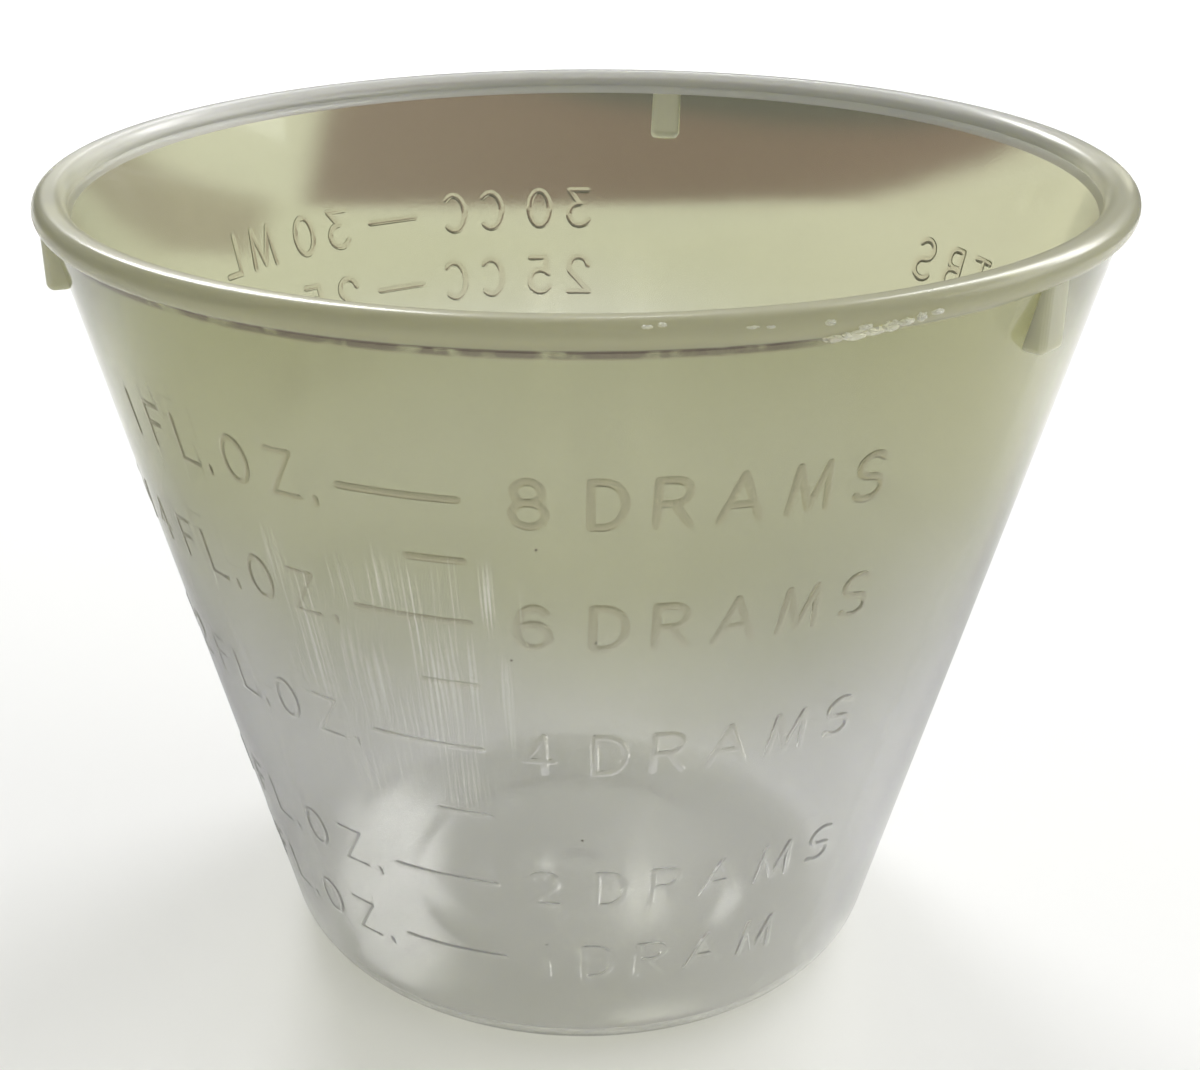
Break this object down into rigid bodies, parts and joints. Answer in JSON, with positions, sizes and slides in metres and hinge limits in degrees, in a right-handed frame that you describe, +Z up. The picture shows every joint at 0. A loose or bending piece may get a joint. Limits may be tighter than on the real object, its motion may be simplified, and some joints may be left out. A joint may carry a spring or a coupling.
{
  "type": "graduated mixing cup",
  "caption": "Small conical measuring cup in translucent moulded plastic, with a beaded rim, nesting lugs and raised dram, ounce, metric and spoon scales.",
  "frame": {"origin": "middle of the base, on the surface that the cup stands on", "axes": "+Z up along the cup's axis; the dram scale is read from the -Y side"},
  "size_m": [0.0484, 0.0484, 0.0386],
  "materials": {
    "natural_plastic": "translucent natural plastic, satin",
    "raised_marks": "the same plastic, raised 0.25 mm from the wall"
  },
  "bodies": {
    "root": {"cup_wall": "natural_plastic", "base_heel": "natural_plastic", "floor_ring": "natural_plastic", "floor_disc": "natural_plastic", "gate_mark": "natural_plastic", "rim_bead": "natural_plastic", "lug_rear": "natural_plastic", "lug_left": "natural_plastic", "lug_right": "natural_plastic", "line_8_drams": "raised_marks", "line_7_drams": "raised_marks", "line_6_drams": "raised_marks", "line_5_drams": "raised_marks", "line_4_drams": "raised_marks", "line_3_drams": "raised_marks", "line_2_drams": "raised_marks", "line_1_dram": "raised_marks", "label_8_drams": "raised_marks", "label_6_drams": "raised_marks", "label_4_drams": "raised_marks", "label_2_drams": "raised_marks", "label_1_dram": "raised_marks", "label_1_fl_oz": "raised_marks", "label_3_4_fl_oz": "raised_marks", "label_1_2_fl_oz": "raised_marks", "label_1_4_fl_oz": "raised_marks", "label_1_8_fl_oz": "raised_marks", "line_30_ml": "raised_marks", "line_25_ml": "raised_marks", "line_20_ml": "raised_marks", "line_15_ml": "raised_marks", "line_10_ml": "raised_marks", "line_5_ml": "raised_marks", "label_30_cc": "raised_marks", "label_25_cc": "raised_marks", "label_20_cc": "raised_marks", "label_15_cc": "raised_marks", "label_10_cc": "raised_marks", "label_5_cc": "raised_marks", "label_30_ml": "raised_marks", "label_25_ml": "raised_marks", "label_20_ml": "raised_marks", "label_15_ml": "raised_marks", "label_10_ml": "raised_marks", "label_5_ml": "raised_marks", "line_2_tbs": "raised_marks", "line_1_tbs": "raised_marks", "line_1_tsp": "raised_marks", "label_2_tbs": "raised_marks", "label_1_tbs": "raised_marks", "label_1_tsp": "raised_marks"}
  },
  "joints": []
}
